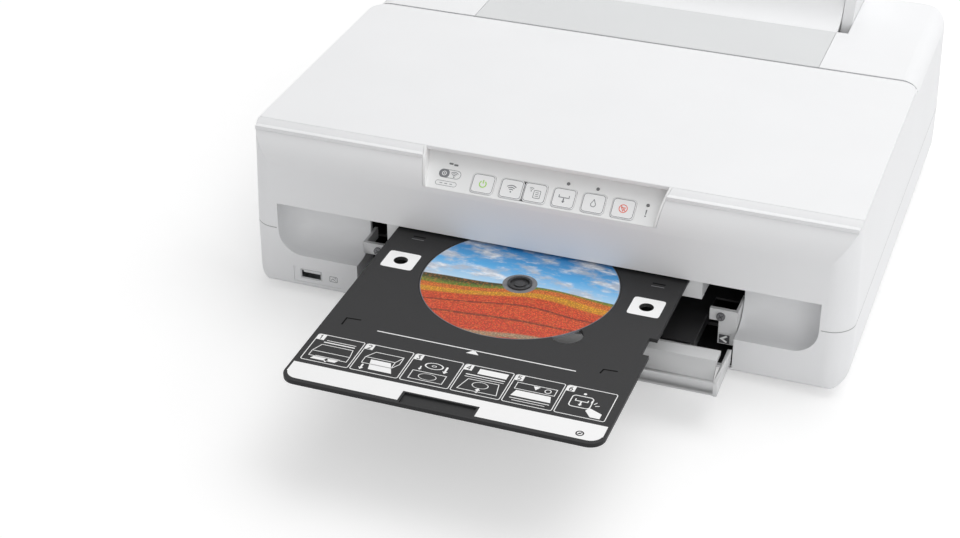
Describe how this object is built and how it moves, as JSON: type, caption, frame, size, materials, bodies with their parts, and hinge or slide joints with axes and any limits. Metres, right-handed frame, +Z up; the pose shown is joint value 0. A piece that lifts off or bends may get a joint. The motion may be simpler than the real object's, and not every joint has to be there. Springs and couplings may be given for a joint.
{
  "type": "disc label printer",
  "caption": "Desktop inkjet printer with a sliding disc tray, sloping button panel, opening top cover, stacker, cassette and rear paper feeder.",
  "frame": {"origin": "on the floor, below the middle of the whole outline with the disc tray part way out", "axes": "+Z up, +Y from the front opening to the back, +X to the right as seen from the front"},
  "size_m": [0.39, 0.5124, 0.163],
  "materials": {
    "case_white": "fine satin moulding",
    "light_grey": "satin",
    "button_white": "semi-gloss",
    "lens": "clear lens",
    "circuit_board": "green board",
    "tray_black": "fine matt",
    "disc_print": "printed face",
    "hub_grey": "satin",
    "stacker_grey": "satin",
    "frame_black": "matt",
    "steel": "plain",
    "chrome_rod": "polished",
    "rubber": "matt",
    "foot_rubber": "matt",
    "gear_white": "satin",
    "brass": "plain",
    "cartridge": "satin",
    "clear_film": "clear film"
  },
  "bodies": {
    "case": {"lower_case": "case_white", "upper_case": "case_white", "rear_housing": "case_white", "control_panel": "light_grey", "indicator_lenses": "lens", "panel_board": "circuit_board", "inner_frame": "frame_black", "tray_guide_left": "stacker_grey", "tray_guide_right": "stacker_grey", "guide_screws": "steel", "feeder_well": "frame_black", "separation_pad": "rubber", "chassis": "steel", "feed_motor": "steel", "carriage_rail": "chrome_rod", "encoder_strip": "clear_film", "timing_belt": "rubber", "carriage_motor": "steel", "star_wheel_bar": "frame_black", "platen": "frame_black", "maintenance_station": "frame_black", "main_board": "circuit_board", "power_supply": "frame_black", "ac_inlet": "frame_black", "rear_usb_port": "steel", "usb_host_port": "steel", "feet": "foot_rubber", "case_screws": "steel"},
    "cover": {"top_cover": "case_white"},
    "guard": {"feeder_guard": "light_grey"},
    "support": {"paper_support": "case_white"},
    "support_extension": {"paper_support_extension": "light_grey"},
    "tray": {"disc_tray": "tray_black", "tray_hub": "hub_grey"},
    "disc": {"disc": "disc_print"},
    "stacker": {"output_tray": "stacker_grey"},
    "stacker_extension": {"output_tray_extension": "stacker_grey"},
    "cassette": {"paper_cassette": "stacker_grey"},
    "hopper": {"hopper": "stacker_grey"},
    "left_guide": {"edge_guide_left": "stacker_grey"},
    "right_guide": {"edge_guide_right": "stacker_grey"},
    "guide_pinion": {"edge_guide_pinion": "gear_white"},
    "pickup": {"pickup_roller": "rubber"},
    "feed": {"feed_roller": "steel", "feed_gear": "gear_white"},
    "idler": {"idler_gear": "gear_white"},
    "eject": {"eject_roller": "rubber", "eject_gear": "gear_white"},
    "pinion": {"motor_pinion": "brass"},
    "carriage": {"carriage": "frame_black", "ink_cartridges": "cartridge", "print_head": "steel"},
    "drive_pulley": {"drive_pulley": "gear_white"},
    "idler_pulley": {"idler_pulley": "gear_white"},
    "power_button": {"power_button": "button_white"},
    "wireless_button": {"wireless_button": "button_white"},
    "status_button": {"status_button": "button_white"},
    "feed_button": {"feed_button": "button_white"},
    "ink_button": {"ink_button": "button_white"},
    "cancel_button": {"cancel_button": "button_white"}
  },
  "joints": [
    {"name": "cover_hinge", "type": "hinge", "parent": "case", "child": "cover", "pos_m": [0, 0.12145, 0.1111], "axis": [-1, 0, 0], "range_deg": [0, 60]},
    {"name": "guard_hinge", "type": "hinge", "parent": "case", "child": "guard", "pos_m": [0, 0.13125, 0.1115], "axis": [-1, 0, 0], "range_deg": [-100, 0]},
    {"name": "support_slide", "type": "slide", "parent": "case", "child": "support", "axis": [0, 0.4147, 0.91], "range_m": [0, 0.06]},
    {"name": "support_extension_slide", "type": "slide", "parent": "support", "child": "support_extension", "axis": [0, 0.4147, 0.91], "range_m": [0, 0.06]},
    {"name": "tray_slide", "type": "slide", "parent": "case", "child": "tray", "axis": [0, 1, 0], "range_m": [-0.055, 0.15]},
    {"name": "disc_turn", "type": "hinge", "parent": "tray", "child": "disc", "pos_m": [0.00108, -0.11755, 0.0616], "axis": [0, 0, 1], "continuous": true},
    {"name": "stacker_slide", "type": "slide", "parent": "case", "child": "stacker", "axis": [0, -1, 0], "range_m": [0, 0.11]},
    {"name": "stacker_extension_slide", "type": "slide", "parent": "stacker", "child": "stacker_extension", "axis": [0, -1, 0], "range_m": [0, 0.09]},
    {"name": "cassette_slide", "type": "slide", "parent": "case", "child": "cassette", "axis": [0, -1, 0], "range_m": [0, 0.12]},
    {"name": "hopper_hinge", "type": "hinge", "parent": "case", "child": "hopper", "pos_m": [0, 0.18285, 0.104], "axis": [-1, 0, 0], "range_deg": [0, 5]},
    {"name": "right_guide_slide", "type": "slide", "parent": "hopper", "child": "right_guide", "axis": [-1, 0, 0], "range_m": [0, 0.055]},
    {"name": "left_guide_slide", "type": "slide", "parent": "hopper", "child": "left_guide", "axis": [1, 0, 0], "range_m": [0, 0.055]},
    {"name": "guide_pinion_turn", "type": "hinge", "parent": "hopper", "child": "guide_pinion", "pos_m": [0.0039, 0.17553, 0.09], "axis": [0, -0.9397, 0.342], "range_deg": [-1, 760]},
    {"name": "pickup_turn", "type": "hinge", "parent": "case", "child": "pickup", "pos_m": [0.0039, 0.15625, 0.08], "axis": [1, 0, 0], "continuous": true},
    {"name": "feed_turn", "type": "hinge", "parent": "case", "child": "feed", "pos_m": [0, 0.03725, 0.0536], "axis": [1, 0, 0], "continuous": true},
    {"name": "idler_turn", "type": "hinge", "parent": "case", "child": "idler", "pos_m": [-0.164, -0.00875, 0.0536], "axis": [1, 0, 0], "continuous": true},
    {"name": "eject_turn", "type": "hinge", "parent": "case", "child": "eject", "pos_m": [0, -0.04275, 0.0536], "axis": [1, 0, 0], "continuous": true},
    {"name": "pinion_turn", "type": "hinge", "parent": "case", "child": "pinion", "pos_m": [-0.164, 0.06425, 0.0536], "axis": [1, 0, 0], "continuous": true},
    {"name": "carriage_slide", "type": "slide", "parent": "case", "child": "carriage", "axis": [1, 0, 0], "range_m": [-0.25, 0]},
    {"name": "drive_pulley_turn", "type": "hinge", "parent": "case", "child": "drive_pulley", "pos_m": [-0.146, 0.05285, 0.092], "axis": [0, -1, 0], "range_deg": [-2410, 1]},
    {"name": "idler_pulley_turn", "type": "hinge", "parent": "case", "child": "idler_pulley", "pos_m": [0.162, 0.05285, 0.092], "axis": [0, -1, 0], "range_deg": [-2410, 1]},
    {"name": "power_press", "type": "slide", "parent": "case", "child": "power_button", "axis": [0, 0.6157, -0.788], "range_m": [0, 0.0008], "stiffness_N_per_m": 400, "springref_m": -0.001},
    {"name": "wireless_press", "type": "slide", "parent": "case", "child": "wireless_button", "axis": [0, 0.6157, -0.788], "range_m": [0, 0.0008], "stiffness_N_per_m": 400, "springref_m": -0.001},
    {"name": "status_press", "type": "slide", "parent": "case", "child": "status_button", "axis": [0, 0.6157, -0.788], "range_m": [0, 0.0008], "stiffness_N_per_m": 400, "springref_m": -0.001},
    {"name": "feed_press", "type": "slide", "parent": "case", "child": "feed_button", "axis": [0, 0.6157, -0.788], "range_m": [0, 0.0008], "stiffness_N_per_m": 400, "springref_m": -0.001},
    {"name": "ink_press", "type": "slide", "parent": "case", "child": "ink_button", "axis": [0, 0.6157, -0.788], "range_m": [0, 0.0008], "stiffness_N_per_m": 400, "springref_m": -0.001},
    {"name": "cancel_press", "type": "slide", "parent": "case", "child": "cancel_button", "axis": [0, 0.6157, -0.788], "range_m": [0, 0.0008], "stiffness_N_per_m": 400, "springref_m": -0.001}
  ],
  "couplings": [
    {"joint": "left_guide_slide", "follows": "right_guide_slide", "ratio": 1},
    {"joint": "guide_pinion_turn", "follows": "right_guide_slide", "rad_per_m": 238},
    {"joint": "idler_turn", "follows": "feed_turn", "ratio": -0.91667},
    {"joint": "eject_turn", "follows": "feed_turn", "ratio": 2.2},
    {"joint": "pinion_turn", "follows": "feed_turn", "ratio": -4.4},
    {"joint": "drive_pulley_turn", "follows": "carriage_slide", "rad_per_m": 166.67},
    {"joint": "idler_pulley_turn", "follows": "carriage_slide", "rad_per_m": 166.67}
  ]
}
